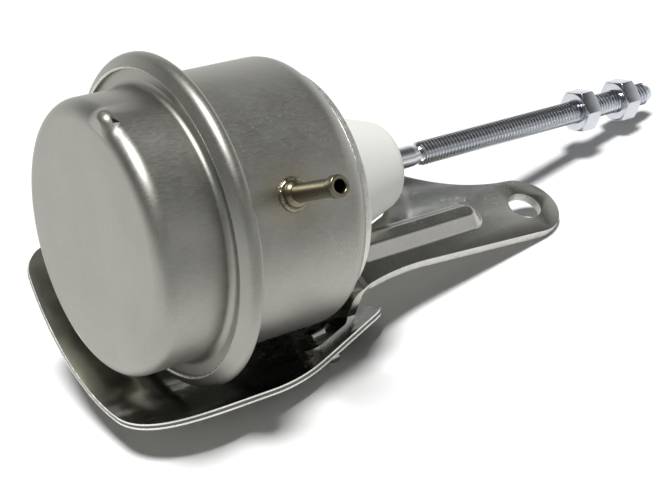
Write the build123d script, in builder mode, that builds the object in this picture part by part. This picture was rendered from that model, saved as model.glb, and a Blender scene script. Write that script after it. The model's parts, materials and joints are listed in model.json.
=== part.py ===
# Diaphragm actuator for a turbocharger wastegate, on its bracket and with its heat shield.
# Frame: +X along the rod towards its tip, +Z up, origin at the centre of the bracket's
# mounting hole, on the arm's upper face. Lengths are in millimetres.
# "Station" means a distance along the rod's axis from the front of the rolled rim;
# the cover lies at negative stations and the rod's tip at the largest one.

import os
from math import atan, cos, radians, sin, sqrt, tan

from build123d import *

# Bracket arm and where it carries the actuator
arm_roll = 24.0  # turn of the arm's face about the rod, from level
rod_height = 7.3  # rod's axis above the arm's upper face
rod_side = 18.8  # rod's axis to the side of the mounting hole
arm_reach = 59.2  # canister's end face to the mounting hole
bracket_t = 2.2
bracket_bend = 4.4
hole_r = 4.2
nose_r = 9.0
arm_root_half = 27.3
arm_waist = 6.5  # near edge's distance from the hole's line
arm_waist_place = 36.7  # from the hole towards the canister
arm_flare = 7.6  # from the root fold to where the near edge turns out
arm_flare_side = 0.5
arm_shoulder = 11.0
arm_bay_place = 24.9  # far edge, where its straight slope ends
arm_bay_side = 1.2
arm_neck_place = 13.0  # far edge, midway round its hollow curve
arm_neck_side = 12.4
rib_height = 1.8
rib_base = 9.4
rib_taper_angle = 60.0
rib_offset = 0.7
rib_end = 12.5
rib_root = 6.0
notch_gap = 0.7

# Casing: canister, cover and the rolled rim that joins them
sheet_t = 1.2
can_depth = 36.8
can_r = 31.1
can_corner = 5.5
rim_width = 6.1
rim_r = can_r + rim_width
rim_roll = 2.2
rim_root = 1.6
lip_width = 3.2
lip_r = rim_r - lip_width
cover_height = 15.3
cover_step = 0.8
cover_r = can_r - cover_step
cover_corner = 4.0
cover_foot = 2.4
diaphragm_t = 1.0

# Vent louvre on the cover's shoulder
vent_angle = 106.0
vent_lean_angle = 65.0  # turn from the cover's face towards its wall
vent_r = 2.4
vent_wall = 1.0
vent_sink = 1.0
vent_mouth = 0.6

# Round plate behind the canister
plate_step = 4.0
plate_r = can_r - plate_step
plate_t = 2.0
plate_edge = 0.5

# Hose nipple
nipple_station = 17.3
nipple_angle = 156.2
nipple_reach = 17.7
nipple_r = 1.95
nipple_bore_r = 1.35
nipple_bead_r = 2.4
nipple_bead = 2.2
nipple_collar_r = 2.9
nipple_collar = 1.5
nipple_shank = 2.0
nipple_shank_r = 2.2
nipple_edge = 0.35

# White guide bush and what it holds
bush_base_r = 17.0
bush_end_r = 9.9
bush_height = 23.8
bush_round = 4.4
neck_r = 8.0
neck_length = 5.2
bush_bore_r = 3.3
sleeve_r = 4.2
sleeve_length = 11.0
sleeve_inset = 0.8
seal_r = 6.0
seal_length = 4.0
seal_lip = 0.5
seal_relief = 0.9
seal_washer_t = 1.0
lock_ring_r = 12.6
lock_ring_t = 0.8
lock_slots = 8
lock_slot_depth = 2.1
lock_slot_width = 1.3

# Rod and nuts
rod_r = 2.65
thread_r = 2.95
thread_start = 35.6  # from the canister's end face
rod_reach = 115.4  # from the canister's end face to the tip at rest
rod_tip_chamfer = 0.9
spigot_r = 2.4
collar_r = 5.0
collar_t = 1.5
peen_r = 4.2
peen_t = 1.4
running_gap = 0.05
nut_flats = 10.0
nut_t = 5.0
nut_chamfer = 0.2
nut_chamfer_angle = 30.0
nut_turn_angle = 50.0
inner_nut_place = 88.4  # from the canister's end face
nut_spacing = 14.6
nut_gap = 0.03

# Piston, diaphragm, spring and stop
rest_gap = 0.3
bumper_t = 4.2
bumper_r = 13.5
bumper_bore_r = 8.5
bumper_chamfer = 1.0
cup_gap = 8.1
cup_r = can_r - cup_gap
cup_t = 1.0
cup_skirt = 15.4
cup_corner = 1.6
retainer_step = 2.5
retainer_r = cup_r - retainer_step
retainer_t = 1.2
retainer_edge = 0.4
fold_bottom = 10.0
fold_clearance = 0.2
fold_round = 2.3
wire_r = 1.5
spring_step = 4.0
spring_r = cup_r - spring_step
spring_turns = 6.5
spring_gap = 0.05
seat_t = 1.0
seat_step = 0.4
seat_r = cup_r - seat_step
seat_bore_r = 14.0
seat_rim = 2.6

# Heat shield and its fixing
shield_t = 1.4
shield_gap = 7.8  # round the rolled rim
shield_r = rim_r + shield_gap
shield_rear_gap = 4.1  # round the canister's line at the rear edge
shield_small_r = can_r + shield_rear_gap
shield_front = -14.4  # station of its front edge
shield_break = 22.0  # station where it starts to narrow
shield_rear = 49.2  # station of its rear edge
shield_blend = 46.0
shield_lift = 3.5  # its centre line lies this far above the rod's axis
near_angle = 55.5  # reach round the canister on the arm's side
far_angle = 38.8  # reach on the other side
near_corner = 20.0
far_corner = 6.0
rear_corner = 5.0
pad_r = 7.0
pad_sink = 0.4
pad_overlap = 0.35
tab_angles = (-45.0, 27.0)  # from straight below the rod, towards each side
tab_half = 5.0
tab_length = 12.5
tab_bend = 4.2
tab_corner = 4.0
screw_station = 34.4
screw_r = 1.5
screw_flats = 5.5
screw_head = 2.0
screw_tail = 1.4
shield_nut_t = 2.4
screw_gap = 0.1

# Places worked out from the sizes above
roll = radians(arm_roll)
side_dir = Vector(0, cos(roll), sin(roll))
up_dir = Vector(0, -sin(roll), cos(roll))
rod_foot = side_dir * rod_side + up_dir * rod_height
rim_x = -arm_reach - can_depth
rim_centre = Vector(rim_x, rod_foot.Y, rod_foot.Z)
rod_axis = Axis(rim_centre, (1, 0, 0))
profile = Plane(origin=rim_centre, x_dir=(1, 0, 0), z_dir=(0, -1, 0))
arm_plane = Plane(origin=(0, 0, 0), x_dir=(1, 0, 0), z_dir=up_dir)
can_end = can_depth
plate_end = can_end + plate_t
flange_end = plate_end + bracket_t
can_inside = can_end - sheet_t
rim_back = 3 * sheet_t + diaphragm_t
flange_edge = rim_r - rim_roll
tip_station = can_end + rod_reach


def across(station):
    """Plane square to the rod: local x to the arm's side, local y away from the arm."""
    return Plane(origin=rim_centre + Vector(station, 0, 0), x_dir=side_dir, z_dir=(1, 0, 0))


def outward(angle):
    """Direction square to the rod, as an angle from +Y towards +Z."""
    return Vector(0, cos(radians(angle)), sin(radians(angle)))


def finish(piece, label):
    """Names a finished piece and writes its file."""
    piece.part.label = label
    export_step(piece.part, f"parts/{label}.step")


os.makedirs("parts", exist_ok=True)

# Canister: drawn can, its mouth turned out and rolled over the cover's flange
with BuildPart() as canister:
    with BuildSketch(profile):
        with BuildLine():
            FilletPolyline(
                (can_end, neck_r),
                (can_end, can_r),
                (rim_back, can_r),
                (rim_back, rim_r),
                (0, rim_r),
                (0, lip_r),
                radius=(can_corner, rim_root, rim_roll, rim_roll),
            )
            offset(amount=sheet_t, side=Side.LEFT)
        make_face()
    revolve(axis=rod_axis)
    nipple_dir = outward(nipple_angle)
    nipple_foot = rim_centre + Vector(nipple_station, 0, 0)
    with BuildSketch(Plane(origin=nipple_foot, z_dir=nipple_dir)):
        Circle(nipple_shank_r)
    extrude(amount=can_r + sheet_t, mode=Mode.SUBTRACT)
finish(canister, "canister")

# Cover: shallow drawn cap with a hooded vent pressed out of its shoulder
vent_dir = outward(vent_angle)
shoulder_centre = rim_centre + Vector(cover_corner - cover_height, 0, 0) + vent_dir * (cover_r - cover_corner)
vent_out = vent_dir * sin(radians(vent_lean_angle)) - Vector(1, 0, 0) * cos(radians(vent_lean_angle))
vent_plane = Plane(
    origin=shoulder_centre + vent_out * (cover_corner - vent_sink),
    x_dir=vent_dir.cross(Vector(-1, 0, 0)),
    z_dir=vent_out,
)
with BuildPart() as end_cover:
    with BuildSketch(profile):
        with BuildLine():
            FilletPolyline(
                (-cover_height, 0),
                (-cover_height, cover_r),
                (sheet_t, cover_r),
                (sheet_t, flange_edge),
                radius=(cover_corner, cover_foot),
            )
            offset(amount=sheet_t, side=Side.RIGHT)
        make_face()
    revolve(axis=rod_axis)
    with Locations(vent_plane):
        Sphere(vent_r, arc_size1=0)
        Sphere(vent_r - vent_wall, mode=Mode.SUBTRACT)
    with Locations(vent_plane * Pos(0, vent_mouth + vent_r / 2, vent_sink / 2 + vent_r / 2)):
        Box(2 * vent_r, vent_r, vent_r, mode=Mode.SUBTRACT)
finish(end_cover, "end_cover")

# Round plate that backs the canister's end and carries the bracket
with BuildPart() as end_plate:
    with BuildSketch(across(can_end)):
        Circle(plate_r)
        Circle(neck_r, mode=Mode.SUBTRACT)
    extrude(amount=plate_t)
    fillet(end_plate.edges().filter_by(GeomType.CIRCLE).group_by(SortBy.RADIUS)[-1], plate_edge)
finish(end_plate, "end_plate")

# Hose nipple: turned, shouldered on the canister and brazed in
with BuildPart() as hose_nipple:
    nipple_plane = Plane(origin=nipple_foot, x_dir=(1, 0, 0), z_dir=nipple_dir.cross(Vector(1, 0, 0)) * -1)
    with BuildSketch(nipple_plane):
        with BuildLine():
            Polyline(
                (nipple_bore_r, can_r - sheet_t - nipple_shank),
                (nipple_shank_r, can_r - sheet_t - nipple_shank),
                (nipple_shank_r, can_r),
                (nipple_collar_r, can_r),
                (nipple_collar_r, can_r + nipple_collar),
                (nipple_r, can_r + nipple_collar + nipple_collar_r - nipple_r),
                (nipple_r, can_r + nipple_reach - nipple_bead - nipple_bead_r + nipple_r),
                (nipple_bead_r, can_r + nipple_reach - nipple_bead),
                (nipple_bead_r, can_r + nipple_reach),
                (nipple_bore_r, can_r + nipple_reach),
                close=True,
            )
        make_face()
    revolve(axis=Axis(nipple_foot, nipple_dir))
    tip_edges = hose_nipple.edges().filter_by(GeomType.CIRCLE).sort_by(Axis(nipple_foot, nipple_dir))[-2:]
    fillet(tip_edges, nipple_edge)
finish(hose_nipple, "hose_nipple")

# Guide bush: white moulded cone whose neck goes through the plate and the canister
bush_end = plate_end + bush_height
neck_end = can_end - neck_length
seal_end = neck_end + seal_washer_t + seal_length
with BuildPart() as guide_bush:
    with BuildSketch(profile):
        Polygon(
            (neck_end, seal_r),
            (neck_end, neck_r),
            (plate_end, neck_r),
            (plate_end, bush_base_r),
            (bush_end, bush_end_r),
            (bush_end, sleeve_r),
            (bush_end - sleeve_inset - sleeve_length, sleeve_r),
            (bush_end - sleeve_inset - sleeve_length, bush_bore_r),
            (seal_end, bush_bore_r),
            (seal_end, seal_r),
            align=None,
        )
    revolve(axis=rod_axis)
    end_rim = guide_bush.edges().filter_by(GeomType.CIRCLE).group_by(Axis.X)[-1].sort_by(SortBy.RADIUS)[-1]
    fillet(end_rim, bush_round)
finish(guide_bush, "guide_bush")


def bush_radius(station):
    """Outer radius of the bush's cone."""
    return bush_base_r + (bush_end_r - bush_base_r) * (station - plate_end) / bush_height


# Guide sleeve pressed into the bush's outer end
with BuildPart() as guide_sleeve:
    with BuildSketch(across(bush_end - sleeve_inset - sleeve_length)):
        Circle(sleeve_r)
        Circle(rod_r + running_gap, mode=Mode.SUBTRACT)
    extrude(amount=sleeve_length)
finish(guide_sleeve, "guide_sleeve")

# Lip seal in the bush's neck, and the washer that keeps it there
with BuildPart() as rod_seal:
    with BuildSketch(profile):
        Polygon(
            (seal_end - seal_length, seal_r),
            (seal_end, seal_r),
            (seal_end, rod_r + running_gap + seal_relief),
            (seal_end - seal_length / 2, rod_r + running_gap + seal_relief),
            (seal_end - seal_length * 3 / 4, rod_r + running_gap),
            (seal_end - seal_length, rod_r + running_gap + seal_lip),
            align=None,
        )
    revolve(axis=rod_axis)
finish(rod_seal, "rod_seal")

with BuildPart() as seal_washer:
    with BuildSketch(across(neck_end)):
        Circle(seal_r)
        Circle(bush_bore_r, mode=Mode.SUBTRACT)
    extrude(amount=seal_washer_t)
finish(seal_washer, "seal_washer")

# Lock ring: toothed spring washer on the neck, inside the canister
with BuildPart() as lock_ring:
    with BuildSketch(across(can_inside)):
        Circle(lock_ring_r)
        Circle(neck_r, mode=Mode.SUBTRACT)
        with PolarLocations(neck_r, lock_slots):
            Rectangle(2 * lock_slot_depth, lock_slot_width, mode=Mode.SUBTRACT)
    extrude(amount=-lock_ring_t)
finish(lock_ring, "lock_ring")

# Spring seat: shallow dish on the canister's inner end
with BuildPart() as spring_seat:
    with BuildSketch(profile):
        with BuildLine():
            FilletPolyline(
                (can_inside, seat_bore_r),
                (can_inside, seat_r),
                (can_inside - seat_t - seat_rim, seat_r),
                radius=cup_corner,
            )
            offset(amount=seat_t, side=Side.LEFT)
        make_face()
    revolve(axis=rod_axis)
finish(spring_seat, "spring_seat")

# Piston stack, from the stop inwards; each piece seats on the one before
bumper_face = sheet_t - cover_height + rest_gap
retainer_face = bumper_face + bumper_t
diaphragm_face = retainer_face + retainer_t
cup_face = diaphragm_face + diaphragm_t
cup_floor = cup_face + cup_t
with BuildPart() as stop_bumper:
    with BuildSketch(profile):
        Polygon(
            (bumper_face, bumper_bore_r + bumper_chamfer),
            (bumper_face, bumper_r - bumper_chamfer),
            (retainer_face, bumper_r),
            (retainer_face, bumper_bore_r),
            align=None,
        )
    revolve(axis=rod_axis)
finish(stop_bumper, "stop_bumper")

with BuildPart() as diaphragm_retainer:
    with BuildSketch(across(retainer_face)):
        Circle(retainer_r)
        Circle(spigot_r, mode=Mode.SUBTRACT)
    extrude(amount=retainer_t)
    rims = diaphragm_retainer.edges().filter_by(GeomType.CIRCLE).group_by(SortBy.RADIUS)[-1]
    fillet(rims, retainer_edge)
finish(diaphragm_retainer, "diaphragm_retainer")

with BuildPart() as piston_cup:
    with BuildSketch(profile):
        with BuildLine():
            FilletPolyline(
                (cup_face, spigot_r),
                (cup_face, cup_r),
                (cup_face + cup_skirt, cup_r),
                radius=cup_corner,
            )
            offset(amount=cup_t, side=Side.RIGHT)
        make_face()
    revolve(axis=rod_axis)
finish(piston_cup, "piston_cup")

# Rolling diaphragm: one moulded membrane, clamped in the rim and folded round the cup
fold_r = can_r - sheet_t - fold_clearance - diaphragm_t
with BuildPart() as diaphragm:
    with BuildSketch(profile):
        with BuildLine():
            FilletPolyline(
                (diaphragm_face, spigot_r),
                (diaphragm_face, cup_r + diaphragm_t),
                (fold_bottom, cup_r + diaphragm_t),
                (fold_bottom, fold_r),
                (2 * sheet_t, fold_r),
                (2 * sheet_t, flange_edge),
                radius=(
                    cup_corner + diaphragm_t,
                    fold_round,
                    fold_round,
                    rim_root + sheet_t + fold_clearance + diaphragm_t,
                ),
            )
            offset(amount=diaphragm_t, side=Side.RIGHT)
        make_face()
    revolve(axis=rod_axis)
finish(diaphragm, "diaphragm")

# Return spring between the cup and its seat
spring_start = cup_floor + wire_r + spring_gap
spring_stop = can_inside - seat_t - wire_r - spring_gap
with BuildPart() as return_spring:
    with BuildLine() as coil:
        spring_length = spring_stop - spring_start
        Helix(
            pitch=spring_length / spring_turns,
            height=spring_length,
            radius=spring_r,
            center=rim_centre + Vector(spring_start, 0, 0),
            direction=(1, 0, 0),
        )
    with BuildSketch(Plane(origin=coil.line @ 0, z_dir=coil.line % 0)):
        Circle(wire_r)
    sweep(path=coil.line, is_frenet=True)
finish(return_spring, "return_spring")

# Control rod: shouldered and peened over at the piston, threaded from mid length
collar_end = cup_floor + collar_t
peen_face = retainer_face - peen_t
with BuildPart() as control_rod:
    with BuildSketch(profile):
        Polygon(
            (peen_face, 0),
            (peen_face, peen_r - peen_t / 2),
            (peen_face + peen_t / 2, peen_r),
            (retainer_face, peen_r),
            (retainer_face, spigot_r),
            (cup_floor, spigot_r),
            (cup_floor, collar_r),
            (collar_end, collar_r),
            (collar_end, rod_r),
            (can_end + thread_start, rod_r),
            (can_end + thread_start + thread_r - rod_r, thread_r),
            (tip_station - rod_tip_chamfer, thread_r),
            (tip_station, thread_r - rod_tip_chamfer),
            (tip_station, 0),
            align=None,
        )
    revolve(axis=rod_axis)
finish(control_rod, "control_rod")


def hex_nut(place, flats, thickness, bore_r):
    """Hexagon nut across the rod's axis, corners chamfered on both faces."""
    corner_r = flats / sqrt(3)
    face_r = flats / 2 - nut_chamfer
    bevel = (corner_r - face_r) * tan(radians(nut_chamfer_angle))
    with BuildPart() as nut:
        with BuildSketch(place):
            RegularPolygon(corner_r, 6)
        extrude(amount=thickness)
        with BuildSketch(Plane(origin=place.origin, x_dir=place.x_dir, z_dir=place.y_dir * -1)):
            with BuildLine():
                Polyline(
                    (0, 0),
                    (face_r, 0),
                    (corner_r, bevel),
                    (corner_r, thickness - bevel),
                    (face_r, thickness),
                    (0, thickness),
                    close=True,
                )
            make_face()
        revolve(axis=Axis(place.origin, place.z_dir), mode=Mode.INTERSECT)
        with BuildSketch(place):
            Circle(bore_r)
        extrude(amount=thickness, mode=Mode.SUBTRACT)
    return nut


# Two adjusting nuts on the rod
nut_x_dir = outward(nut_turn_angle)
for label, place in (("inner_nut", inner_nut_place), ("outer_nut", inner_nut_place + nut_spacing)):
    nut_origin = rim_centre + Vector(can_end + place, 0, 0)
    nut = hex_nut(Plane(origin=nut_origin, x_dir=nut_x_dir, z_dir=(1, 0, 0)), nut_flats, nut_t, thread_r + nut_gap)
    finish(nut, label)

# Heat shield: thin trough below the canister, its rear part drawn in like a cone
shield_slope = (shield_r - shield_small_r) / (shield_rear - shield_break)
shield_lean = atan(shield_slope)
shield_centre = rim_centre + up_dir * shield_lift
trough = Plane(origin=shield_centre, x_dir=(1, 0, 0), z_dir=side_dir)


def pad_radius(station):
    """Radius of the flat pads' inner face, where the shield rests on the bracket's tabs."""
    return shield_r - shield_slope * (station - shield_break) - (shield_t + pad_sink) / cos(shield_lean)


def downward(angle):
    """Direction square to the rod, as an angle from straight away from the arm's upper face."""
    return side_dir * sin(radians(angle)) - up_dir * cos(radians(angle))


def screw_plane(angle):
    """Plane on the inner face of a shield pad, at its screw, facing the canister."""
    radial = downward(angle)
    origin = shield_centre + Vector(screw_station, 0, 0) + radial * pad_radius(screw_station)
    inward = radial * -cos(shield_lean) - Vector(1, 0, 0) * sin(shield_lean)
    return Plane(origin=origin, x_dir=radial.cross(Vector(1, 0, 0)), z_dir=inward)


with BuildPart() as shield_blank:
    for reach_angle, side, front_corner in ((near_angle, -1, near_corner), (far_angle, 1, far_corner)):
        middle = sin(radians(reach_angle / 2))
        back = -side
        with BuildSketch(Plane(origin=shield_centre, x_dir=(back, 0, 0), z_dir=downward(side * reach_angle / 2))):
            with BuildLine():
                FilletPolyline(
                    (back * shield_front, -shield_r * middle),
                    (back * shield_front, shield_r * middle),
                    (back * shield_break, shield_r * middle),
                    (back * shield_rear, shield_small_r * middle),
                    (back * shield_rear, -shield_r * middle),
                    radius=(front_corner, shield_blend, rear_corner),
                )
                Line((back * shield_rear, -shield_r * middle), (back * shield_front, -shield_r * middle))
            make_face()
        extrude(amount=shield_r + shield_t)

with BuildPart() as heat_shield:
    with BuildSketch(trough):
        with BuildLine():
            FilletPolyline(
                (shield_front, shield_r),
                (shield_break, shield_r),
                (shield_rear, shield_small_r),
                radius=shield_blend,
            )
            offset(amount=shield_t, side=Side.RIGHT)
        make_face()
    revolve(axis=Axis(shield_centre, (1, 0, 0)))
    add(shield_blank.part, mode=Mode.INTERSECT)
    for angle in tab_angles:
        with BuildSketch(screw_plane(angle)):
            Circle(pad_r - pad_overlap)
        extrude(amount=pad_r, both=True, mode=Mode.SUBTRACT)
        with BuildSketch(screw_plane(angle)):
            Circle(pad_r)
            Circle(screw_r + screw_gap, mode=Mode.SUBTRACT)
        extrude(amount=-shield_t)
finish(heat_shield, "heat_shield")

# Bracket: one bent sheet, an arm with a pressed rib and a flange with two shield tabs
flange_x = plate_end - can_end - arm_reach
root_x = flange_x + bracket_t
notch_stations = (plate_end, (plate_end + bush_end - bush_round) / 2, bush_end - bush_round)
notch_sides = [
    (rim_x + station, sqrt((bush_radius(station) + notch_gap) ** 2 - rod_height**2))
    for station in notch_stations
]


def leg_corners(angle):
    """End corners of a flange leg in the flange's plane, the one nearer the arm's side first."""
    turn = radians(angle)
    leg_r = pad_radius(flange_end) - tab_bend / 2
    return [
        (leg_r * sin(turn) + edge * cos(turn), shield_lift - leg_r * cos(turn) + edge * sin(turn))
        for edge in (-tab_half, tab_half)
    ]


with BuildPart() as mounting_bracket:
    with BuildSketch(Plane(origin=(0, 0, 0), x_dir=(1, 0, 0), z_dir=side_dir * -1)):
        with BuildLine():
            FilletPolyline(
                (flange_x, -can_r),
                (flange_x, 0),
                (nose_r, 0),
                radius=bracket_bend,
            )
            offset(amount=bracket_t, side=Side.RIGHT)
        make_face()
    extrude(amount=2 * can_r, both=True)
    with BuildSketch(arm_plane):
        near_root = rod_side - arm_root_half
        far_root = rod_side + arm_root_half
        shoulder_x = root_x + arm_shoulder
        with BuildLine():
            Line((0, -nose_r), (-arm_waist_place, -arm_waist))
            ThreePointArc(
                (-arm_waist_place, -arm_waist),
                (root_x + arm_flare, -arm_waist - arm_flare_side),
                (root_x, near_root),
            )
            Polyline((root_x, near_root), (flange_x, near_root), (flange_x, far_root), (shoulder_x, far_root))
            Line((shoulder_x, far_root), (-arm_bay_place, rod_side + arm_bay_side))
            ThreePointArc((-arm_bay_place, rod_side + arm_bay_side), (-arm_neck_place, arm_neck_side), (0, nose_r))
            ThreePointArc((0, nose_r), (nose_r, 0), (0, -nose_r))
        make_face()
    extrude(amount=2 * can_r, both=True, mode=Mode.INTERSECT)
    with BuildSketch(across(0)):
        with Locations((0, -rod_height)):
            Rectangle(4 * can_r, bracket_bend * 2)
        with BuildLine():
            near_out, near_in = leg_corners(tab_angles[0])
            far_in, far_out = leg_corners(tab_angles[1])
            Polyline((arm_root_half, -rod_height), (-arm_root_half, -rod_height), near_out, near_in)
            ThreePointArc(near_in, (0, -plate_r), far_in)
            Polyline(far_in, far_out, (arm_root_half, -rod_height))
        make_face()
    extrude(amount=2 * arm_reach, mode=Mode.INTERSECT)
    for angle in tab_angles:
        radial = downward(angle)
        with BuildSketch(Plane(origin=shield_centre, x_dir=(1, 0, 0), z_dir=Vector(1, 0, 0).cross(radial))):
            with BuildLine():
                FilletPolyline(
                    (flange_end, plate_r - tab_half),
                    (flange_end, pad_radius(flange_end)),
                    (flange_end - tab_length, pad_radius(flange_end - tab_length)),
                    radius=tab_bend,
                )
                offset(amount=bracket_t, side=Side.LEFT)
            make_face()
        extrude(amount=tab_half, both=True)
    tab_ends = mounting_bracket.faces().filter_by(GeomType.PLANE).sort_by(Axis.X)[:2]
    corners = [edge for face in tab_ends for edge in face.edges() if abs(edge.length - bracket_t) < 0.01]
    fillet(corners, tab_corner)
    with BuildSketch(arm_plane):
        with Locations(((-rib_end + root_x + rib_root) / 2, rib_offset)):
            SlotOverall(-rib_end - root_x - rib_root, rib_base)
    extrude(amount=rib_height, taper=rib_taper_angle)
    with BuildSketch(arm_plane.offset(-bracket_t)):
        with Locations(((-rib_end + root_x + rib_root) / 2, rib_offset)):
            SlotOverall(-rib_end - root_x - rib_root - bracket_t, rib_base - bracket_t)
    extrude(amount=rib_height, taper=rib_taper_angle, mode=Mode.SUBTRACT)
    with BuildSketch(across(plate_end)):
        Circle(bush_base_r + notch_gap)
    extrude(amount=bracket_t, mode=Mode.SUBTRACT)
    with BuildSketch(arm_plane):
        with BuildLine():
            near_side = [(x, rod_side - half) for x, half in notch_sides]
            far_side = [(x, rod_side + half) for x, half in notch_sides]
            Line(far_side[0], near_side[0])
            ThreePointArc(*near_side)
            ThreePointArc(near_side[-1], (rim_x + bush_end + notch_gap, rod_side), far_side[-1])
            ThreePointArc(*reversed(far_side))
        make_face()
        Circle(hole_r)
    extrude(amount=bracket_bend * 2, both=True, mode=Mode.SUBTRACT)
    for angle in tab_angles:
        with BuildSketch(screw_plane(angle)):
            Circle(screw_r + screw_gap)
        extrude(amount=bracket_t * 2, both=True, mode=Mode.SUBTRACT)
finish(mounting_bracket, "mounting_bracket")

# Shield screws and nuts, a pair of each
head_face = bracket_t
tail_face = -shield_t - shield_nut_t - screw_tail
with BuildPart() as shield_screws:
    for angle in tab_angles:
        with BuildSketch(screw_plane(angle).offset(head_face)):
            RegularPolygon(screw_flats / sqrt(3), 6)
        extrude(amount=screw_head)
        with BuildSketch(screw_plane(angle).offset(tail_face)):
            Circle(screw_r)
        extrude(amount=head_face - tail_face)
finish(shield_screws, "shield_screws")

with BuildPart() as shield_nuts:
    for angle in tab_angles:
        with BuildSketch(screw_plane(angle).offset(-shield_t)):
            RegularPolygon(screw_flats / sqrt(3), 6)
            Circle(screw_r, mode=Mode.SUBTRACT)
        extrude(amount=-shield_nut_t)
finish(shield_nuts, "shield_nuts")
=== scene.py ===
# Diaphragm actuator for a turbocharger wastegate, with its bracket and heat shield, as it lies
# on a white table. Metres, in the frame of the solids: +X along the rod, origin at the arm's hole.
import json
from math import ceil, cos, degrees, exp, pi, radians, sin, sqrt, tan

import bpy
from mathutils import Matrix, Vector

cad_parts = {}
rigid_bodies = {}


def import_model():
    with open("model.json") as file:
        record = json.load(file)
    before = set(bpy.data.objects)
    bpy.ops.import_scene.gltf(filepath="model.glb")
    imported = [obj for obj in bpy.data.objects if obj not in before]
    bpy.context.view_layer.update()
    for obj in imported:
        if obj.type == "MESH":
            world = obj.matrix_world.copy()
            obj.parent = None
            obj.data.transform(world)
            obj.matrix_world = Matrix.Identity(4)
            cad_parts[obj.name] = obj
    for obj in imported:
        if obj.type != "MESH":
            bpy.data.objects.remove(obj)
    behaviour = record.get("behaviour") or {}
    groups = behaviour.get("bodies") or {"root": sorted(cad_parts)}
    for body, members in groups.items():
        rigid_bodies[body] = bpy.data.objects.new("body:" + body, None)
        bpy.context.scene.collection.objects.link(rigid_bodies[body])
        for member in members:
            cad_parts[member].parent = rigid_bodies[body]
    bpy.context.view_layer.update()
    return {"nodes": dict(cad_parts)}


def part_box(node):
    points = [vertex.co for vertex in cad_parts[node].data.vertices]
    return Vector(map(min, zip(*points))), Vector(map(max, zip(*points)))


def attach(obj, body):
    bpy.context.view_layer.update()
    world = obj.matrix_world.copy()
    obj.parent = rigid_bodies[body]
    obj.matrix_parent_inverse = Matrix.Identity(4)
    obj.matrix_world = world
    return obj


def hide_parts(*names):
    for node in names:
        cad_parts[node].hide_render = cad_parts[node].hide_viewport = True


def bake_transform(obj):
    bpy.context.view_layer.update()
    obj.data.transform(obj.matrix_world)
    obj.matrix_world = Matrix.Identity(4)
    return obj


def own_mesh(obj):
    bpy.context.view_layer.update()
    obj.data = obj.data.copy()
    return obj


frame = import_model()

# The can: a deep-drawn stainless can, its mouth turned out and rolled over the cover's flange.
# Drawing leaves a satin skin with a fine grain, drawn out a little along the can, and handling
# adds a few short bright scratches.
mm = 0.001
can_low, can_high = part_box("canister")
rim = Vector((can_low.x, (can_low.y + can_high.y) / 2, (can_low.z + can_high.z) / 2))
sheet = 1.2 * mm
can_end = 36.8 * mm
can_r = 31.1 * mm
can_corner = 5.5 * mm
neck_hole_r = 8 * mm
rim_back = 4.6 * mm
rim_r = 37.2 * mm
rim_root = 1.6 * mm
lip_r = 34 * mm
lip_slope = 0.4 * mm
clamped_r = 35.05 * mm


def linear(code):
    """An sRGB colour, written as in a paint chart, in the linear values that the nodes take."""
    parts = [int(code[i : i + 2], 16) / 255 for i in (1, 3, 5)]
    return [p / 12.92 if p <= 0.04045 else ((p + 0.055) / 1.055) ** 2.4 for p in parts] + [1]


def add(finish, kind, inputs=None, **settings):
    """One node of a finish: its settings, then its sockets, each a value or a node's output."""
    tree = finish.node_tree
    node = tree.nodes.new("ShaderNode" + kind)
    for name, value in settings.items():
        setattr(node, name, value)
    for name, value in (inputs or {}).items():
        if isinstance(value, bpy.types.NodeSocket):
            tree.links.new(value, node.inputs[name])
        else:
            node.inputs[name].default_value = value
    return node


def new_finish(name):
    """An empty finish, with its surface's shader and its output joined."""
    finish = bpy.data.materials.new(name)
    finish.use_nodes = True
    finish.node_tree.nodes.clear()
    shader = add(finish, "BsdfPrincipled")
    add(finish, "OutputMaterial", {"Surface": shader.outputs["BSDF"]})
    return finish, shader


def join(finish, output, socket):
    """Joins one node's output to another's socket."""
    finish.node_tree.links.new(output, socket)


def coat(piece, finish):
    """Gives a piece this one finish."""
    piece.data.materials.clear()
    piece.data.materials.append(finish)


drawn_steel, shader = new_finish("drawn_stainless_satin")
place = add(drawn_steel, "TexCoord").outputs["Object"]
along = add(drawn_steel, "Mapping", {"Vector": place, "Scale": (0.25, 1, 1)}).outputs["Vector"]
grain = add(
    drawn_steel, "TexNoise", {"Vector": along, "Scale": 2600, "Detail": 3, "Roughness": 0.6}
)
cloud = add(drawn_steel, "TexNoise", {"Vector": place, "Scale": 70, "Detail": 4, "Roughness": 0.55})
tone = add(drawn_steel, "Math", {0: grain.outputs["Fac"], 1: cloud.outputs["Fac"]}, operation="ADD")
share = add(drawn_steel, "MapRange", {"Value": tone.outputs[0], "From Min": 0.7, "From Max": 1.3})
skin = add(
    drawn_steel,
    "Mix",
    {0: share.outputs[0], 6: linear("#9d9c95"), 7: linear("#aeada6")},
    data_type="RGBA",
)
# the brazing heat leaves a faint straw ring on the can, round the nipple's foot
nipple_way = Vector((0, cos(radians(156.2)), sin(radians(156.2))))
nipple_foot = rim + Vector((17.3 * mm, 0, 0)) + nipple_way * can_r
near_braze = add(drawn_steel, "VectorMath", {0: place, 1: nipple_foot}, operation="DISTANCE")
straw = add(
    drawn_steel,
    "MapRange",
    {
        "Value": near_braze.outputs["Value"],
        "From Min": 3 * mm,
        "From Max": 9 * mm,
        "To Min": 0.5,
        "To Max": 0,
    },
)
tint = add(
    drawn_steel,
    "Mix",
    {0: straw.outputs[0], 6: skin.outputs[2], 7: linear("#a39a78")},
    data_type="RGBA",
)
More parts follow.
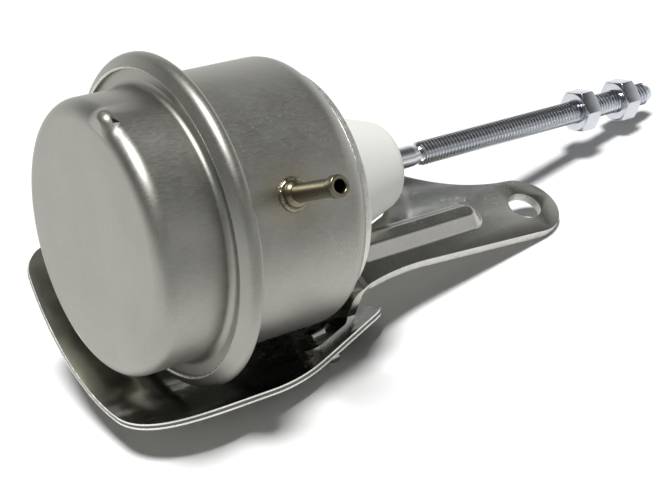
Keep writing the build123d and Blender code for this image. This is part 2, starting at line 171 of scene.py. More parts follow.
# scratches a few millimetres long and a tenth wide, in a few patches of the can's wall only
strokes = add(
    drawn_steel,
    "Mapping",
    {"Vector": place, "Rotation": (0.4, 0.5, 0.9), "Scale": (2600, 170, 2600)},
)
stroke = add(
    drawn_steel, "TexNoise", {"Vector": strokes.outputs["Vector"], "Scale": 1, "Detail": 0}
)
thin = add(
    drawn_steel, "MapRange", {"Value": stroke.outputs["Fac"], "From Min": 0.72, "From Max": 0.8}
)
patch = add(drawn_steel, "TexNoise", {"Vector": place, "Scale": 95, "Detail": 1})
patchy = add(
    drawn_steel,
    "MapRange",
    {"Value": patch.outputs["Fac"], "From Min": 0.56, "From Max": 0.68, "To Max": 0.8},
)
station = add(drawn_steel, "SeparateXYZ", {"Vector": place}).outputs["X"]
on_can = add(
    drawn_steel,
    "MapRange",
    {"Value": station, "From Min": rim.x + 4 * mm, "From Max": rim.x + 5 * mm, "To Max": 0.7},
)
few = add(drawn_steel, "Math", {0: patchy.outputs[0], 1: on_can.outputs[0]}, operation="MULTIPLY")
scratch = add(drawn_steel, "Math", {0: thin.outputs[0], 1: few.outputs[0]}, operation="MULTIPLY")
colour = add(
    drawn_steel,
    "Mix",
    {0: scratch.outputs[0], 6: tint.outputs[2], 7: linear("#e4e4e0")},
    data_type="RGBA",
)
rough = add(
    drawn_steel,
    "MapRange",
    {"Value": tone.outputs[0], "From Min": 0.7, "From Max": 1.3, "To Min": 0.4, "To Max": 0.48},
)
bump = add(
    drawn_steel, "Bump", {"Height": grain.outputs["Fac"], "Strength": 0.25, "Distance": 0.03 * mm}
)
join(drawn_steel, colour.outputs[2], shader.inputs["Base Color"])
join(drawn_steel, rough.outputs[0], shader.inputs["Roughness"])
join(drawn_steel, bump.outputs[0], shader.inputs["Normal"])
shader.inputs["Metallic"].default_value = 1


def deselect():
    """Leaves object mode with nothing selected."""
    if bpy.context.object and bpy.context.object.mode != "OBJECT":
        bpy.ops.object.mode_set(mode="OBJECT")
    bpy.ops.object.select_all(action="DESELECT")


def only(piece):
    """Selects this piece alone."""
    deselect()
    piece.select_set(True)
    bpy.context.view_layer.objects.active = piece


def settle(piece, smooth=30):
    """Finishes a mesh: doubles merged, faces out, its place in it, smooth but for its edges."""
    only(piece)
    bpy.ops.object.mode_set(mode="EDIT")
    bpy.ops.mesh.select_all(action="SELECT")
    bpy.ops.mesh.remove_doubles(threshold=1e-7)
    bpy.ops.mesh.normals_make_consistent(inside=False)
    bpy.ops.object.mode_set(mode="OBJECT")
    bpy.ops.object.transform_apply(location=True, rotation=True, scale=True)
    bpy.ops.object.shade_smooth_by_angle(angle=radians(smooth))


def turn_up(name, rings, sides=96):
    """A turned piece about the rod's line: a circle at its first ring, drawn out ring by ring."""
    deselect()
    station, radius = rings[0]
    bpy.ops.mesh.primitive_circle_add(
        vertices=sides,
        radius=radius,
        location=rim + Vector((station, 0, 0)),
        rotation=(0, pi / 2, 0),
    )
    piece = bpy.context.object
    piece.name = name
    bpy.ops.object.mode_set(mode="EDIT")
    bpy.ops.mesh.select_all(action="SELECT")
    for next_station, next_radius in rings[1:]:
        bpy.ops.mesh.extrude_edges_move(
            TRANSFORM_OT_translate={"value": (next_station - station, 0, 0)}
        )
        ratio = next_radius / radius
        bpy.ops.transform.resize(
            value=(1, ratio, ratio), center_override=rim + Vector((next_station, 0, 0))
        )
        station, radius = next_station, next_radius
    bpy.ops.object.mode_set(mode="OBJECT")
    return piece


def close_ends(piece):
    """Fills every open ring of a piece with one flat face."""
    only(piece)
    bpy.context.tool_settings.mesh_select_mode = (True, False, False)
    bpy.ops.object.mode_set(mode="EDIT")
    bpy.ops.mesh.select_all(action="DESELECT")
    bpy.ops.mesh.select_non_manifold()
    bpy.ops.mesh.fill_holes(sides=0)
    bpy.ops.object.mode_set(mode="OBJECT")


def rounded(corners, step=12):
    """The line through these corners, each with its bend's radius, in steps of a few degrees."""
    line = []
    for i, (station, radius, bend) in enumerate(corners):
        here = Vector((station, radius))
        if not bend:
            line.append(here)
            continue
        back = (Vector(corners[i - 1][:2]) - here).normalized()
        on = (Vector(corners[i + 1][:2]) - here).normalized()
        inner = back.angle(on)
        middle = here + (back + on).normalized() * bend / sin(inner / 2)
        first = (here + back * bend / tan(inner / 2) - middle).normalized()
        last = (here + on * bend / tan(inner / 2) - middle).normalized()
        count = ceil(degrees(first.angle(last)) / step)
        for k in range(count + 1):
            line.append(middle + first.slerp(last, k / count) * bend)
    return line


def cut_away(piece, tool):
    """Cuts a tool's shape out of a piece, and removes the tool."""
    only(piece)
    bpy.ops.object.modifier_add(type="BOOLEAN")
    cut = piece.modifiers[-1]
    cut.object = tool
    bpy.ops.object.modifier_apply(modifier=cut.name)
    only(tool)
    bpy.ops.object.delete()


# the blank's cut edges are burnished by the tools; their near-white, half-diffuse colour is a
# painted highlight, a thin bright line on them under any lamp
burnished_with_painted_highlight, shader = new_finish("burnished_sheet_corner_painted_highlight")
place = add(burnished_with_painted_highlight, "TexCoord").outputs["Object"]
nicks = add(burnished_with_painted_highlight, "TexNoise", {"Vector": place, "Scale": 350, "Detail": 3, "Roughness": 0.6})
rough = add(burnished_with_painted_highlight, "MapRange", {"Value": nicks.outputs["Fac"], "To Min": 0.12, "To Max": 0.4})
join(burnished_with_painted_highlight, rough.outputs[0], shader.inputs["Roughness"])
shader.inputs["Base Color"].default_value = linear("#f8f7f0")
shader.inputs["Metallic"].default_value = 0.5
can = turn_up(
    "canister_drawn",
    rounded(
        [
            (can_end, neck_hole_r, 0),
            (can_end, can_r, can_corner),
            (rim_back, can_r, rim_root),
            (rim_back, rim_r, 1.2 * mm),
            (1.9 * mm, rim_r, 2.4 * mm),
            (0, lip_r + lip_slope, 0.25 * mm),
            (0.35 * mm, lip_r, 0),
            (sheet, lip_r, 0),
            (sheet, clamped_r, 0),
            (rim_back - sheet, clamped_r, 0),
            (rim_back - sheet, can_r - sheet, rim_root + sheet),
            (can_end - sheet, can_r - sheet, can_corner - sheet),
            (can_end - sheet, neck_hole_r, 0),
        ],
        8,
    ),
    192,
)
only(can)
bpy.ops.object.mode_set(mode="EDIT")
bpy.ops.mesh.select_all(action="DESELECT")
bpy.ops.mesh.select_non_manifold()
bpy.ops.mesh.bridge_edge_loops()
bpy.ops.object.mode_set(mode="OBJECT")
settle(can)
deselect()
bpy.ops.mesh.primitive_cylinder_add(
    vertices=48,
    radius=2.25 * mm,
    depth=6 * mm,
    location=nipple_foot,
    rotation=nipple_way.to_track_quat("Z", "Y").to_euler(),
)
cut_away(can, bpy.context.object)
settle(can)
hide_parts("canister")
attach(can, "housing")
coat(can, drawn_steel)
can.data.materials.append(burnished_with_painted_highlight)
# the lip's cut edge takes the burnished finish, with its painted highlight line all round
for face in can.data.polygons:
    off = face.center - rim
    reach = sqrt(off.y**2 + off.z**2)
    face.material_index = 1 if off.x < 0.5 * mm and reach < lip_r + lip_slope else 0

# The rod: steel, turned and zinc plated, its outer half rolled with an M6 thread of 1 mm pitch.
# The plain shank is as bright as chrome, and the thread's crests catch a line of light each.
rod_low, rod_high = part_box("control_rod")
thread_start = 72.4 * mm
pitch = 1 * mm
root_r = 2.36 * mm
crest_r = 2.95 * mm
shank_r = 2.65 * mm
tip = rod_high.x - rim.x
tip_chamfer = 0.9 * mm
peened_r = 4.2 * mm
peened_back = -9.6 * mm
spigot_r = 2.4 * mm
shoulder_r = 5 * mm
shoulder_front = -6.4 * mm
shoulder_back = -4.9 * mm
rod = turn_up(
    "control_rod_threaded",
    rounded(
        [
            (rod_low.x - rim.x, 3.5 * mm, 0),
            (-10.3 * mm, peened_r, 0),
            (peened_back, peened_r, 0),
            (peened_back, spigot_r, 0),
            (shoulder_front, spigot_r, 0),
            (shoulder_front, shoulder_r, 0),
            (shoulder_back, shoulder_r, 0.3 * mm),
            (shoulder_back, shank_r, 0),
            (thread_start - 1.6 * mm, shank_r, 0.3 * mm),
            (thread_start, root_r, 0.3 * mm),
            (tip - tip_chamfer, root_r, 0.2 * mm),
            (tip, crest_r - tip_chamfer, 0),
        ]
    ),
    48,
)
close_ends(rod)
settle(rod)

# the rolled crests: a four-cornered tooth, wound on in one helix, its two ends closed and run out
deselect()
bpy.ops.mesh.primitive_circle_add(vertices=4, radius=0.5 * pitch, location=(0, 0, 0))
crests = bpy.context.object
crests.name = "thread_crests"
foot_r = 2.3 * mm
tooth = ((-0.46, foot_r), (-0.09, crest_r), (0.09, crest_r), (0.46, foot_r))
for corner, (x, r) in zip(crests.data.vertices, tooth):
    corner.co = (thread_start + 0.2 * mm + x * mm, 0, r)
crests.location = rim
bpy.ops.object.modifier_add(type="SCREW")
wind = crests.modifiers[-1]
wind.axis = "X"
wind.screw_offset = pitch
wind.iterations = int((tip - tip_chamfer * 0.3 - thread_start) / pitch) - 1
wind.steps = wind.render_steps = 30
bpy.ops.object.modifier_apply(modifier=wind.name)
close_ends(crests)
for v in crests.data.vertices:
    reach = sqrt(v.co.y**2 + v.co.z**2)
    run_in = root_r + max(0, v.co.x - thread_start) * 0.5
    run_out = crest_r - max(0, v.co.x - (tip - tip_chamfer))
    wanted = min(reach, max(run_in, foot_r), run_out)
    v.co.y *= wanted / reach
    v.co.z *= wanted / reach
settle(crests)
only(rod)
crests.select_set(True)
bpy.ops.object.join()
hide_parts("control_rod")
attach(rod, "rod_assembly")

bright_zinc, shader = new_finish("bright_zinc_plate")
place = add(bright_zinc, "TexCoord").outputs["Object"]
haze = add(bright_zinc, "TexNoise", {"Vector": place, "Scale": 420, "Detail": 4, "Roughness": 0.6})
colour = add(
    bright_zinc,
    "Mix",
    {0: haze.outputs["Fac"], 6: linear("#c4c8cd"), 7: linear("#d8dbe0")},
    data_type="RGBA",
)
rough = add(
    bright_zinc, "MapRange", {"Value": haze.outputs["Fac"], "To Min": 0.1, "To Max": 0.26}
)
join(bright_zinc, colour.outputs[2], shader.inputs["Base Color"])
join(bright_zinc, rough.outputs[0], shader.inputs["Roughness"])
shader.inputs["Metallic"].default_value = 1
coat(rod, bright_zinc)

# The cover: a shallow cap drawn in the same stainless, its flange gripped in the can's rolled
# mouth. A small hooded vent is pressed out of its shoulder and opened on the side of the wall.
cover_face = -15.3 * mm
cover_r = 30.3 * mm
corner_r = 4 * mm
flange_r = 35 * mm
middle_r = 0.5 * mm
cover = turn_up(
    "end_cover_drawn",
    rounded(
        [
            (cover_face, middle_r, 0),
            (cover_face, cover_r, corner_r),
            (sheet, cover_r, 1.5 * mm),
            (sheet, flange_r, 0),
            (2 * sheet, flange_r, 0),
            (2 * sheet, cover_r - sheet, 2.7 * mm),
            (cover_face + sheet, cover_r - sheet, corner_r - sheet),
            (cover_face + sheet, middle_r, 0),
        ],
        6,
    ),
    160,
)
close_ends(cover)
vent_angle = radians(104.5)
vent_lean = radians(60)
vent_side = Vector((0, cos(vent_angle), sin(vent_angle)))
vent_out = vent_side * sin(vent_lean) - Vector((cos(vent_lean), 0, 0))
vent_across = vent_side.cross(Vector((-1, 0, 0)))
vent_down = vent_out.cross(vent_across)
corner_middle = rim + Vector((cover_face + corner_r, 0, 0)) + vent_side * (cover_r - corner_r)
vent_top = corner_middle + vent_out * corner_r
vent_reach = 3.1 * mm
vent_rise = 2 * mm
outer_skin = 1.15 * mm  # deeper points are the sheet's inner skin
only(cover)
bpy.ops.object.mode_set(mode="EDIT")
for spread in (8 * mm, 5 * mm):
    bpy.ops.mesh.select_all(action="DESELECT")
    bpy.ops.object.mode_set(mode="OBJECT")
    turned = cover.matrix_world
    for face in cover.data.polygons:
        away = turned @ face.center - vent_top
        face.select = away.length < spread and away.dot(vent_out) > -1.9 * mm
    bpy.ops.object.mode_set(mode="EDIT")
    bpy.ops.mesh.subdivide(number_cuts=2)
bpy.ops.object.mode_set(mode="OBJECT")
settle(cover)
# only the outer skin is raised, and never past the cover's face
for v in cover.data.vertices:
    away = v.co - vent_top
    x, y, z = away.dot(vent_across), away.dot(vent_down), away.dot(vent_out)
    if -outer_skin < z < 1 * mm and sqrt(x * x + y * y) < 2.2 * vent_reach:
        away = (x * x + y * y) / vent_reach**2
        v.co += vent_out * vent_rise * exp(-away * sqrt(away))
        v.co.x = max(v.co.x, rim.x + cover_face)
# its mouth is a three-cornered slot on the side of the hood
deselect()
bpy.ops.mesh.primitive_cylinder_add(
    vertices=3,
    radius=1.05 * mm,
    depth=3 * mm,
    location=vent_top + vent_across * 2.9 * mm + vent_down * 0.9 * mm + vent_out * 0.55 * mm,
)
mouth = bpy.context.object
mouth.rotation_euler = Matrix((vent_down, vent_out, vent_across)).transposed().to_euler()
cut_away(cover, mouth)
settle(cover)
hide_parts("end_cover")
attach(cover, "housing")
coat(cover, drawn_steel)

# The bracket: one blank of 2.2 mm stainless sheet, pressed and bent. Its faces keep the mill's
# satin skin, and the blanking die leaves a rough bright band round every edge.
pressed_steel, shader = new_finish("pressed_stainless_mill")
place = add(pressed_steel, "TexCoord").outputs["Object"]
grain = add(
    pressed_steel, "TexNoise", {"Vector": place, "Scale": 2200, "Detail": 3, "Roughness": 0.6}
)
cloud = add(
    pressed_steel, "TexNoise", {"Vector": place, "Scale": 110, "Detail": 5, "Roughness": 0.6}
)
tone = add(
    pressed_steel, "Math", {0: grain.outputs["Fac"], 1: cloud.outputs["Fac"]}, operation="ADD"
)
share = add(
    pressed_steel, "MapRange", {"Value": tone.outputs[0], "From Min": 0.7, "From Max": 1.3}
)
colour = add(
    pressed_steel,
    "Mix",
    {0: share.outputs[0], 6: linear("#b8b7b0"), 7: linear("#c8c7c0")},
    data_type="RGBA",
)
rough = add(
    pressed_steel,
    "MapRange",
    {"Value": tone.outputs[0], "From Min": 0.7, "From Max": 1.3, "To Min": 0.2, "To Max": 0.28},
)
join(pressed_steel, colour.outputs[2], shader.inputs["Base Color"])
join(pressed_steel, rough.outputs[0], shader.inputs["Roughness"])
shader.inputs["Metallic"].default_value = 1

sheared, shader = new_finish("sheared_stainless_edge")
place = add(sheared, "TexCoord").outputs["Object"]
tears = add(sheared, "TexNoise", {"Vector": place, "Scale": 900, "Detail": 4, "Roughness": 0.7})
colour = add(
    sheared,
    "Mix",
    {0: tears.outputs["Fac"], 6: linear("#b4b3ac"), 7: linear("#efeee8")},
    data_type="RGBA",
)
rough = add(sheared, "MapRange", {"Value": tears.outputs["Fac"], "To Min": 0.25, "To Max": 0.55})
bump = add(sheared, "Bump", {"Height": tears.outputs["Fac"], "Strength": 0.7, "Distance": 0.4 * mm})
join(sheared, colour.outputs[2], shader.inputs["Base Color"])
join(sheared, rough.outputs[0], shader.inputs["Roughness"])
join(sheared, bump.outputs[0], shader.inputs["Normal"])
shader.inputs["Metallic"].default_value = 1


def copy_of(name, node):
    """A copy of a solid's mesh, merged, its flat faces made whole."""
    deselect()
    piece = bpy.data.objects.new(name, frame["nodes"][node].data.copy())
    bpy.context.collection.objects.link(piece)
    only(piece)
    bpy.ops.mesh.customdata_custom_splitnormals_clear()
    bpy.ops.object.mode_set(mode="EDIT")
    bpy.ops.mesh.select_all(action="SELECT")
    bpy.ops.mesh.remove_doubles(threshold=1e-6)
    bpy.ops.mesh.dissolve_limited(angle_limit=radians(1))
    bpy.ops.object.mode_set(mode="OBJECT")
    return piece


def take_over(piece, node, body, width, steps=3):
    """Rounds a copied solid's edges, as the real one's are, and puts it in the solid's place."""
    only(piece)
    bpy.ops.object.modifier_add(type="BEVEL")
    edge = piece.modifiers[-1]
    edge.width = width
    edge.segments = steps
    edge.angle_limit = radians(28)
    bpy.ops.object.modifier_apply(modifier=edge.name)
    settle(piece, 40)
    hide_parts(node)
    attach(piece, body)
    return piece


arm_turn = radians(24)
arm_up = Vector((0, -sin(arm_turn), cos(arm_turn)))
arm_side = Vector((0, cos(arm_turn), sin(arm_turn)))
bracket = copy_of("bracket_pressed", "mounting_bracket")
flange_front = -53 * mm
for v in bracket.data.vertices:
    above = v.co.dot(arm_up)
    if v.co.x > flange_front and above > 0.02 * mm:
        v.co -= arm_up * above
only(bracket)
bpy.ops.object.mode_set(mode="EDIT")
bpy.ops.mesh.select_all(action="SELECT")
bpy.ops.mesh.dissolve_limited(angle_limit=radians(1))
bpy.ops.object.mode_set(mode="OBJECT")
take_over(bracket, "mounting_bracket", "housing", 0.35 * mm)

# the pressed rib: 2.7 mm high, its flanks near 45 degrees, its edges and ends rounded by the punch
rib_middle = Vector((-33.9, 0, 0)) * mm + arm_side * 1.9 * mm
rib_half = 20.6 * mm
rib_round = 4.7 * mm
rib_high = 2.7 * mm
rib_sunk = 0.02 * mm  # the rib's rim lies this deep in the sheet
flank = 3.5 * mm
bend = 0.2  # share of the flank that is rounded at its foot, and again at its top
deselect()
bpy.ops.mesh.primitive_grid_add(x_subdivisions=160, y_subdivisions=44, size=1)
rib = bpy.context.object
rib.name = "pressed_rib"
for v in rib.data.vertices:
    x, y = 2 * v.co.x * rib_half, 2 * v.co.y * rib_round
    inside = rib_round - Vector((max(0, abs(x) - rib_half + rib_round), y)).length
    part = min(max(inside / flank, 0), 1)
    if part < bend:
        lift = part * part / (2 * bend)
    elif part > 1 - bend:
        lift = 1 - bend - (1 - part) ** 2 / (2 * bend)
    else:
        lift = part - bend / 2
    height = lift / (1 - bend) * rib_high - rib_sunk
    v.co = rib_middle + Vector((x, 0, 0)) + arm_side * y + arm_up * height
settle(rib, 60)
only(bracket)
rib.select_set(True)
bpy.ops.object.join()
coat(bracket, pressed_steel)
bracket.data.materials.append(sheared)
shield_middle = rim + arm_up * 3.5 * mm
for face in bracket.data.polygons:
    round_rod = face.center - shield_middle
    round_rod.x = 0
    if face.center.x > flange_front:
        flat = abs(face.normal.dot(arm_up))
    else:
        flat = max(abs(face.normal.x), abs(face.normal.dot(round_rod.normalized())))
    ribbed = face.center.dot(arm_up) > 0.05 * mm and face.center.x > flange_front
    face.material_index = 1 if flat < 0.45 and not ribbed else 0
# the shield's screws and nuts, and the plate between bracket and can, with its own sheared rim
for name, node in (("shield_screw_pair", "shield_screws"), ("shield_nut_pair", "shield_nuts")):
    coat(take_over(copy_of(name, node), node, "housing", 0.25 * mm), pressed_steel)
plate = take_over(
    copy_of("end_plate_blanked", "end_plate"), "end_plate", "housing", 0.2 * mm
)
coat(plate, drawn_steel)
plate.data.materials.append(sheared)
for face in plate.data.polygons:
    face.material_index = 1 if abs(face.normal.x) < 0.9 else 0

# The two lock nuts: cold-formed M6 nuts, zinc plated as the rod is, their corners rounded over by
# the dies. They are run up the rod's thread and hold the lever's eye between them.
for name, body in (("inner_nut", "first_nut"), ("outer_nut", "second_nut")):
    nut = take_over(copy_of(name + "_formed", name), name, body, 0.3 * mm)
    coat(nut, bright_zinc)

# The heat shield: thin bright-rolled stainless, pressed into a trough. The mirror skin has
# crinkled a little in the press, so reflections wander in it.
mirror_steel, shader = new_finish("bright_rolled_stainless")
place = add(mirror_steel, "TexCoord").outputs["Object"]
crinkle = add(
    mirror_steel, "TexNoise", {"Vector": place, "Scale": 75, "Detail": 2, "Roughness": 0.45}
)
haze = add(
    mirror_steel, "TexNoise", {"Vector": place, "Scale": 500, "Detail": 4, "Roughness": 0.6}
)
skin = add(
    mirror_steel,
    "Mix",
    {0: haze.outputs["Fac"], 6: linear("#97968f"), 7: linear("#acaba4")},
    data_type="RGBA",
)
# the die has rubbed the drawn-in rear part duller, and its colour darkens towards its rear end
station = add(mirror_steel, "SeparateXYZ", {"Vector": place}).outputs["X"]
rear_darkening = add(
    mirror_steel, "MapRange", {"Value": station, "From Min": -64 * mm, "From Max": -57 * mm}
)
colour = add(
    mirror_steel,
    "Mix",
    {0: rear_darkening.outputs[0], 6: skin.outputs[2], 7: linear("#4c4b46")},
    data_type="RGBA",
)
rubbed = add(
    mirror_steel,
    "MapRange",
    {"Value": station, "From Min": -84 * mm, "From Max": -66 * mm, "To Min": 0.16, "To Max": 0.4},
)
rough = add(
    mirror_steel, "Math", {0: haze.outputs["Fac"], 1: rubbed.outputs[0]}, operation="MULTIPLY"
)
rough = add(mirror_steel, "Math", {0: rough.outputs[0], 1: 0.08}, operation="ADD")
bump = add(
    mirror_steel, "Bump", {"Height": crinkle.outputs["Fac"], "Strength": 0.5, "Distance": 1.2 * mm}
)
join(mirror_steel, colour.outputs[2], shader.inputs["Base Color"])
join(mirror_steel, rough.outputs[0], shader.inputs["Roughness"])
join(mirror_steel, bump.outputs[0], shader.inputs["Normal"])
shader.inputs["Metallic"].default_value = 1
shield = copy_of("heat_shield_pressed", "heat_shield")
rear_lean = radians(19.8)


def skin_share(face):
    """How squarely a face looks out of or into the trough: near 1 on its skins, less on edges."""
    out = face.center - shield_middle
    out.x = 0
    out.normalize()
    leaning = out * cos(rear_lean) + Vector((sin(rear_lean), 0, 0))
    return max(abs(face.normal.dot(out)), abs(face.normal.dot(leaning)))


# its cut edge: both corners are burnished, their near-white colour a painted highlight, and the
# break between them is dull
break_edge, shader = new_finish("dull_sheet_break")
place = add(break_edge, "TexCoord").outputs["Object"]
tears = add(break_edge, "TexNoise", {"Vector": place, "Scale": 1200, "Detail": 4, "Roughness": 0.7})
rough = add(break_edge, "MapRange", {"Value": tears.outputs["Fac"], "To Min": 0.4, "To Max": 0.7})
join(break_edge, rough.outputs[0], shader.inputs["Roughness"])
shader.inputs["Base Color"].default_value = linear("#6f6e68")
shader.inputs["Metallic"].default_value = 1
coat(shield, mirror_steel)
shield.data.materials.append(burnished_with_painted_highlight)
shield.data.materials.append(break_edge)
# the ring of narrow faces round the outline is found from its front end, then inset
only(shield)
corners = shield.data.vertices
for face in shield.data.polygons:
    edges = sum((corners[a].co - corners[b].co).length for a, b in face.edge_keys)
    narrow = 2 * face.area / edges < 1.5 * mm
    face.select = narrow and skin_share(face) < 0.85
edge_faces = [face for face in shield.data.polygons if face.select]
front = min(edge_faces, key=lambda face: face.center.x).index
bpy.context.tool_settings.mesh_select_mode = (False, False, True)
bpy.ops.object.mode_set(mode="EDIT")
bpy.ops.mesh.hide(unselected=True)
bpy.ops.mesh.select_all(action="DESELECT")
bpy.ops.object.mode_set(mode="OBJECT")
shield.data.polygons[front].select = True
bpy.ops.object.mode_set(mode="EDIT")
bpy.ops.mesh.select_linked()
bpy.ops.mesh.reveal(select=False)
bpy.ops.object.mode_set(mode="OBJECT")
# the edge ring takes the burnished finish with its painted highlight; its inset middle takes the
# dull break
for face in shield.data.polygons:
    face.material_index = 1 if face.select else 0
bpy.ops.object.mode_set(mode="EDIT")
bpy.ops.mesh.inset(thickness=0.42 * mm)
bpy.ops.object.mode_set(mode="OBJECT")
for face in shield.data.polygons:
    if face.select:
        face.material_index = 2
take_over(shield, "heat_shield", "housing", 0.15 * mm)

# The hose nipple: a turned brass tube with a thin, pale and slightly hazy plating. It is brazed
# into the can's wall, and its bead holds the hose.
pale_brass, shader = new_finish("plated_turned_brass")
place = add(pale_brass, "TexCoord").outputs["Object"]
haze = add(pale_brass, "TexNoise", {"Vector": place, "Scale": 600, "Detail": 4, "Roughness": 0.6})
colour = add(
    pale_brass,
    "Mix",
    {0: haze.outputs["Fac"], 6: linear("#78735f"), 7: linear("#918b78")},
    data_type="RGBA",
)
rough = add(pale_brass, "MapRange", {"Value": haze.outputs["Fac"], "To Min": 0.22, "To Max": 0.36})
join(pale_brass, colour.outputs[2], shader.inputs["Base Color"])
join(pale_brass, rough.outputs[0], shader.inputs["Roughness"])
shader.inputs["Metallic"].default_value = 1
nipple = copy_of("nipple_turned", "hose_nipple")
take_over(nipple, "hose_nipple", "housing", 0.5 * mm, 4)
coat(nipple, pale_brass)

# the filler has flowed round the foot and frozen in a wavy, bright bead
braze, shader = new_finish("brass_braze")
place = add(braze, "TexCoord").outputs["Object"]
flow = add(braze, "TexNoise", {"Vector": place, "Scale": 700, "Detail": 3, "Roughness": 0.5})
bump = add(braze, "Bump", {"Height": flow.outputs["Fac"], "Strength": 0.8, "Distance": 0.5 * mm})
join(braze, bump.outputs[0], shader.inputs["Normal"])
shader.inputs["Base Color"].default_value = linear("#9c9684")
shader.inputs["Metallic"].default_value = 1
shader.inputs["Roughness"].default_value = 0.25
deselect()
bpy.ops.mesh.primitive_torus_add(
    major_segments=64,
    minor_segments=16,
    major_radius=2.95 * mm,
    minor_radius=0.75 * mm,
    location=nipple_foot + nipple_way * 0.05 * mm,
    rotation=nipple_way.to_track_quat("Z", "Y").to_euler(),
)
bead = bpy.context.object
bead.name = "braze_bead"
settle(bead)
coat(bead, braze)
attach(bead, "housing")

# The guide bush: a cone moulded in white heat-proof plastic, with the fine matt grain of its
# mould. Its neck goes through the plate and the can's end, and it guides the rod.
white_plastic, shader = new_finish("moulded_white_plastic")
place = add(white_plastic, "TexCoord").outputs["Object"]
grain = add(
    white_plastic, "TexNoise", {"Vector": place, "Scale": 1500, "Detail": 3, "Roughness": 0.6}
)
cloud = add(
    white_plastic, "TexNoise", {"Vector": place, "Scale": 90, "Detail": 3, "Roughness": 0.5}
)
colour = add(
    white_plastic,
    "Mix",
    {0: cloud.outputs["Fac"], 6: linear("#e9e9e3"), 7: linear("#f3f3ed")},
    data_type="RGBA",
)
bump = add(
    white_plastic, "Bump", {"Height": grain.outputs["Fac"], "Strength": 0.3, "Distance": 0.05 * mm}
)
join(white_plastic, colour.outputs[2], shader.inputs["Base Color"])
join(white_plastic, bump.outputs[0], shader.inputs["Normal"])
shader.inputs["Roughness"].default_value = 0.6
shader.inputs["IOR"].default_value = 1.5
coat(frame["nodes"]["guide_bush"], white_plastic)

# Inside the can: pressed washers, cup and seat of plain steel, a bronze sleeve and black rubber.
# They show only from behind, down the bush's bore, and each is as plain as in the real one.
plain_steel, shader = new_finish("plain_pressed_steel")
place = add(plain_steel, "TexCoord").outputs["Object"]
haze = add(plain_steel, "TexNoise", {"Vector": place, "Scale": 300, "Detail": 4, "Roughness": 0.6})
rough = add(plain_steel, "MapRange", {"Value": haze.outputs["Fac"], "To Min": 0.3, "To Max": 0.5})
join(plain_steel, rough.outputs[0], shader.inputs["Roughness"])
shader.inputs["Base Color"].default_value = linear("#a5a5a3")
shader.inputs["Metallic"].default_value = 1
for name in ("seal_washer", "lock_ring", "spring_seat", "diaphragm_retainer", "piston_cup"):
    coat(frame["nodes"][name], plain_steel)

# pressed from powder, so its warm skin is dulled by fine pores
bronze, shader = new_finish("sintered_bronze")
place = add(bronze, "TexCoord").outputs["Object"]
pores = add(bronze, "TexNoise", {"Vector": place, "Scale": 1800, "Detail": 3, "Roughness": 0.6})
rough = add(bronze, "MapRange", {"Value": pores.outputs["Fac"], "To Min": 0.35, "To Max": 0.6})
join(bronze, rough.outputs[0], shader.inputs["Roughness"])
shader.inputs["Base Color"].default_value = linear("#b08a58")
shader.inputs["Metallic"].default_value = 1
coat(frame["nodes"]["guide_sleeve"], bronze)

# moulded and matt, with a faint bloom
rubber, shader = new_finish("black_rubber")
place = add(rubber, "TexCoord").outputs["Object"]
bloom = add(rubber, "TexNoise", {"Vector": place, "Scale": 900, "Detail": 3, "Roughness": 0.6})
rough = add(rubber, "MapRange", {"Value": bloom.outputs["Fac"], "To Min": 0.6, "To Max": 0.8})
join(rubber, rough.outputs[0], shader.inputs["Roughness"])
shader.inputs["Base Color"].default_value = linear("#232323")
for name in ("rod_seal", "stop_bumper"):
    coat(frame["nodes"][name], rubber)

# The return spring: six and a half turns of drawn wire, 3 mm thick, between cup and seat.
spring_low, spring_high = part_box("return_spring")
wire_r = 1.5 * mm
coil_r = 19 * mm
turns = 6.5
deselect()
bpy.ops.mesh.primitive_circle_add(
    vertices=14, radius=wire_r, location=(0, 0, coil_r), rotation=(0, pi / 2, pi / 2)
)
spring = bpy.context.object
spring.name = "return_spring_wire"
bpy.ops.object.transform_apply(location=True, rotation=True, scale=True)
spring.location = (spring_low.x + wire_r, rim.y, rim.z)
bpy.ops.object.modifier_add(type="SCREW")
wind = spring.modifiers[-1]
wind.axis = "X"
wind.angle = 2 * pi * turns
wind.screw_offset = spring_high.x - spring_low.x - 2 * wire_r
wind.steps = wind.render_steps = 288
bpy.ops.object.modifier_apply(modifier=wind.name)
close_ends(spring)
settle(spring, 40)
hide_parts("return_spring")
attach(spring, "housing")
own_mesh(spring)
coat(spring, plain_steel)

# The rolling diaphragm: one moulded rubber membrane, gripped in the rolled rim and folded round
# the cup.
floor = -8.4 * mm
inner_wall_r = 24 * mm
outer_wall_r = 28.7 * mm
fold = 10 * mm
fold_r = 2.3 * mm
membrane = turn_up(
    "rolling_diaphragm",
    rounded(
        [
            (floor, 2.42 * mm, 0),
            (floor, inner_wall_r, 2.6 * mm),
            (fold, inner_wall_r, fold_r),
            (fold, outer_wall_r, fold_r),
            (2 * sheet, outer_wall_r, 4 * mm),
            (2 * sheet, 34.8 * mm, 0),
        ]
    ),
)
bpy.ops.object.modifier_add(type="SOLIDIFY")
wall = membrane.modifiers[-1]
wall.thickness = 0.9 * mm
wall.offset = 1
bpy.ops.object.modifier_apply(modifier=wall.name)
settle(membrane)
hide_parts("diaphragm")
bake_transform(membrane)
coat(membrane, rubber)

# The white table and the light of the photograph. The part lies on the shield's belly and the
# arm's nose, so the table slopes in this frame. Both come from the shadows in the photograph.
table_normal = Vector((-0.266, 0.05, 1))
table_height = -6.69 * mm
deselect()
bpy.ops.mesh.primitive_plane_add(
    size=3,
    location=(0, 0, table_height),
    rotation=table_normal.to_track_quat("Z", "Y").to_euler(),
)
table_top = bpy.context.object
table_top.name = "table_top"
paper, shader = new_finish("white_table")
shader.inputs["Roughness"].default_value = 0.9
shader.inputs["Specular IOR Level"].default_value = 0
rays = add(paper, "LightPath")
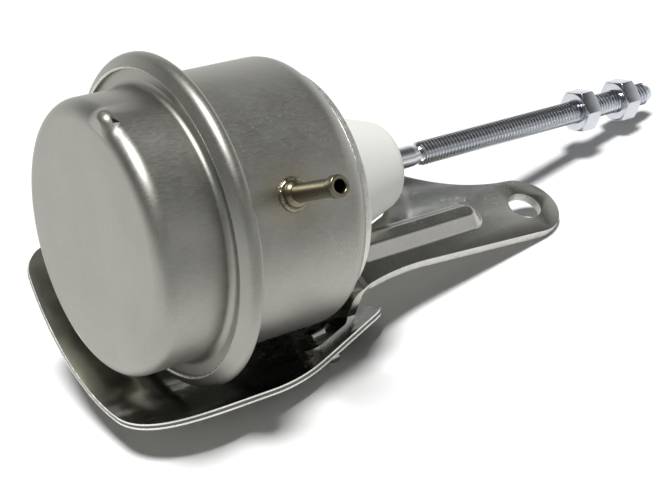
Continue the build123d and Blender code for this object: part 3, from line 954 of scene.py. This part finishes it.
# towards the photographer the table lies in the shade, which the can's near side mirrors
place = add(paper, "NewGeometry").outputs["Position"]
nearer = add(paper, "VectorMath", {0: place, 1: (0.2, -1, 0)}, operation="DOT_PRODUCT")
shade = add(
    paper,
    "MapRange",
    {"Value": nearer.outputs["Value"], "From Min": 0.02, "From Max": 0.1, "To Max": 0.85},
)
unseen = add(paper, "Math", {0: 1.0, 1: rays.outputs["Is Camera Ray"]}, operation="SUBTRACT")
shaded = add(paper, "Math", {0: shade.outputs[0], 1: unseen.outputs[0]}, operation="MULTIPLY")
tone = add(
    paper,
    "Mix",
    {0: shaded.outputs[0], 6: linear("#f8f8f8"), 7: linear("#8c8c8c")},
    data_type="RGBA",
)
join(paper, tone.outputs[2], shader.inputs["Base Color"])
glow = add(paper, "Emission", {"Color": linear("#ffffff"), "Strength": 0.02})
seen = add(paper, "MixShader", {0: rays.outputs["Is Camera Ray"], 2: glow.outputs[0]})
lit = add(paper, "AddShader", {0: shader.outputs[0], 1: seen.outputs[0]})
# seen from below, the table is clear
behind = add(paper, "NewGeometry").outputs["Backfacing"]
clear = add(paper, "BsdfTransparent").outputs[0]
below = add(paper, "MixShader", {0: behind, 1: lit.outputs[0], 2: clear})
join(paper, below.outputs[0], paper.node_tree.nodes["Material Output"].inputs["Surface"])
coat(table_top, paper)

# a white room for the camera; metal mirrors its bright walls and darker ceiling, and little else
# but the lamp lights the part
world = bpy.data.worlds.new("white_room")
bpy.context.scene.world = world
world.use_nodes = True
world.node_tree.nodes.clear()
look = add(world, "TexCoord").outputs["Generated"]
height = add(world, "VectorMath", {0: look, 1: (-0.35, -0.15, 1)}, operation="DOT_PRODUCT")
room = add(
    world,
    "MapRange",
    {"Value": height.outputs["Value"], "From Min": 0, "From Max": 0.6, "To Min": 1, "To Max": 0.07},
    interpolation_type="SMOOTHSTEP",
)
rays = add(world, "LightPath")
soft = add(world, "Background", {"Strength": 0.09})
walls = add(world, "Background", {"Strength": room.outputs[0]})
white = add(world, "Background", {"Strength": 1})
for backdrop in (soft, walls, white):
    backdrop.inputs["Color"].default_value = linear("#ffffff")
glossy, camera_ray = rays.outputs["Is Glossy Ray"], rays.outputs["Is Camera Ray"]
mirrored = add(world, "MixShader", {0: glossy, 1: soft.outputs[0], 2: walls.outputs[0]})
both = add(world, "MixShader", {0: camera_ray, 1: mirrored.outputs[0], 2: white.outputs[0]})
add(world, "OutputWorld", {"Surface": both.outputs[0]})

deselect()
lamp_way = Vector((-0.3, -0.15, 1))
bpy.ops.object.light_add(
    type="SUN", location=lamp_way * 0.5, rotation=(-lamp_way).to_track_quat("-Z", "Y").to_euler()
)
lamp = bpy.context.object
lamp.name = "softbox"
lamp.data.angle = radians(15)
lamp.data.energy = 3.4

# The camera stands where the photograph was taken from, 37 cm from the arm's hole and looking
# 24.5 degrees down, with the lens that the circles of rim, can and plate gave.
photo_width = 667
focal_pixels = 1500
deselect()
bpy.ops.object.camera_add(location=Vector((-238.75, -248.3, 143.6)) * mm)
camera = bpy.context.object
camera.rotation_euler = Vector((0.535, 0.736, -0.415)).to_track_quat("-Z", "Y").to_euler()
camera.data.sensor_width = 36
camera.data.lens = focal_pixels / photo_width * camera.data.sensor_width
camera.data.clip_start = 0.01
bpy.context.scene.camera = camera
bpy.context.scene.view_settings.view_transform = "Standard"
